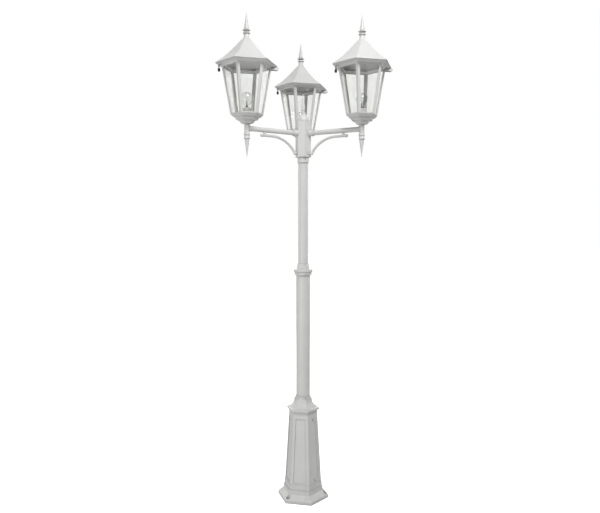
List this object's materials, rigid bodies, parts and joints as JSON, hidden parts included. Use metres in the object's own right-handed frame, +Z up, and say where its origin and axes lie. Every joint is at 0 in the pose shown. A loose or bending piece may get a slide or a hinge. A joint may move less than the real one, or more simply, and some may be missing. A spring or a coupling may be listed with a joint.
{
  "type": "garden lamp post with three lanterns",
  "caption": "Garden lamp post: hexagonal pedestal, stepped round pole, hub with curved-brace arms, and glazed six-sided lanterns with hinged roofs and spiked finials.",
  "frame": {"origin": "centre of the anchor bolt circle on the underside of the pedestal", "axes": "+Z up along the pole, +Y along the arm of the rear lantern, +X to the right of someone who faces the rear lantern from the front"},
  "size_m": [0.8476, 0.7589, 2.4],
  "materials": {
    "white_casting": "white powder coat, satin",
    "white_tube": "white powder coat, satin",
    "steel_fixings": "zinc plated",
    "dark_steel": "blackened",
    "pane_glass": "clear",
    "lamp_glass": "clear",
    "lamp_cap_metal": "bright",
    "holder_plastic": "matt",
    "terminal_plastic": "matt"
  },
  "bodies": {
    "post": {"base_casting": "white_casting", "service_cover": "white_casting", "cover_screws": "steel_fixings", "terminal_block": "terminal_plastic", "base_cap": "white_casting", "lower_pole": "white_tube", "joint_ring": "white_casting", "upper_pole": "white_tube", "hub": "white_casting", "hub_cap": "white_casting", "hub_finial": "white_casting", "grub_screws": "steel_fixings", "arm_tube_right": "white_tube", "brace_right": "white_casting", "stem_right": "white_casting", "drop_finial_right": "white_casting", "bottom_dish_right": "white_casting", "stem_nut_right": "steel_fixings", "lampholder_right": "holder_plastic", "lamp_cap_right": "lamp_cap_metal", "lamp_bulb_right": "lamp_glass", "lantern_cage_right": "white_casting", "glass_panes_right": "pane_glass", "hinge_pin_right": "steel_fixings", "arm_tube_rear": "white_tube", "brace_rear": "white_casting", "stem_rear": "white_casting", "drop_finial_rear": "white_casting", "bottom_dish_rear": "white_casting", "stem_nut_rear": "steel_fixings", "lampholder_rear": "holder_plastic", "lamp_cap_rear": "lamp_cap_metal", "lamp_bulb_rear": "lamp_glass", "lantern_cage_rear": "white_casting", "glass_panes_rear": "pane_glass", "hinge_pin_rear": "steel_fixings", "arm_tube_left": "white_tube", "brace_left": "white_casting", "stem_left": "white_casting", "drop_finial_left": "white_casting", "bottom_dish_left": "white_casting", "stem_nut_left": "steel_fixings", "lampholder_left": "holder_plastic", "lamp_cap_left": "lamp_cap_metal", "lamp_bulb_left": "lamp_glass", "lantern_cage_left": "white_casting", "glass_panes_left": "pane_glass", "hinge_pin_left": "steel_fixings"},
    "roof_body_right": {"roof_right": "white_casting", "roof_finial_right": "white_casting"},
    "catch_body_right": {"catch_screw_right": "dark_steel"},
    "roof_body_rear": {"roof_rear": "white_casting", "roof_finial_rear": "white_casting"},
    "catch_body_rear": {"catch_screw_rear": "dark_steel"},
    "roof_body_left": {"roof_left": "white_casting", "roof_finial_left": "white_casting"},
    "catch_body_left": {"catch_screw_left": "dark_steel"}
  },
  "joints": [
    {"name": "roof_hinge_right", "type": "hinge", "parent": "post", "child": "roof_body_right", "pos_m": [0.4193, -0.12773, 2.144], "axis": [-0.2079, 0.9781, 0], "range_deg": [0, 100]},
    {"name": "catch_slide_right", "type": "slide", "parent": "post", "child": "catch_body_right", "axis": [0, 0, 1], "range_m": [0, 0.01]},
    {"name": "roof_hinge_rear", "type": "hinge", "parent": "post", "child": "roof_body_rear", "pos_m": [0.14477, 0.34777, 2.144], "axis": [-0.2079, 0.9781, 0], "range_deg": [0, 100]},
    {"name": "catch_slide_rear", "type": "slide", "parent": "post", "child": "catch_body_rear", "axis": [0, 0, 1], "range_m": [0, 0.01]},
    {"name": "roof_hinge_left", "type": "hinge", "parent": "post", "child": "roof_body_left", "pos_m": [-0.12976, -0.12773, 2.144], "axis": [-0.2079, 0.9781, 0], "range_deg": [0, 100]},
    {"name": "catch_slide_left", "type": "slide", "parent": "post", "child": "catch_body_left", "axis": [0, 0, 1], "range_m": [0, 0.01]}
  ]
}
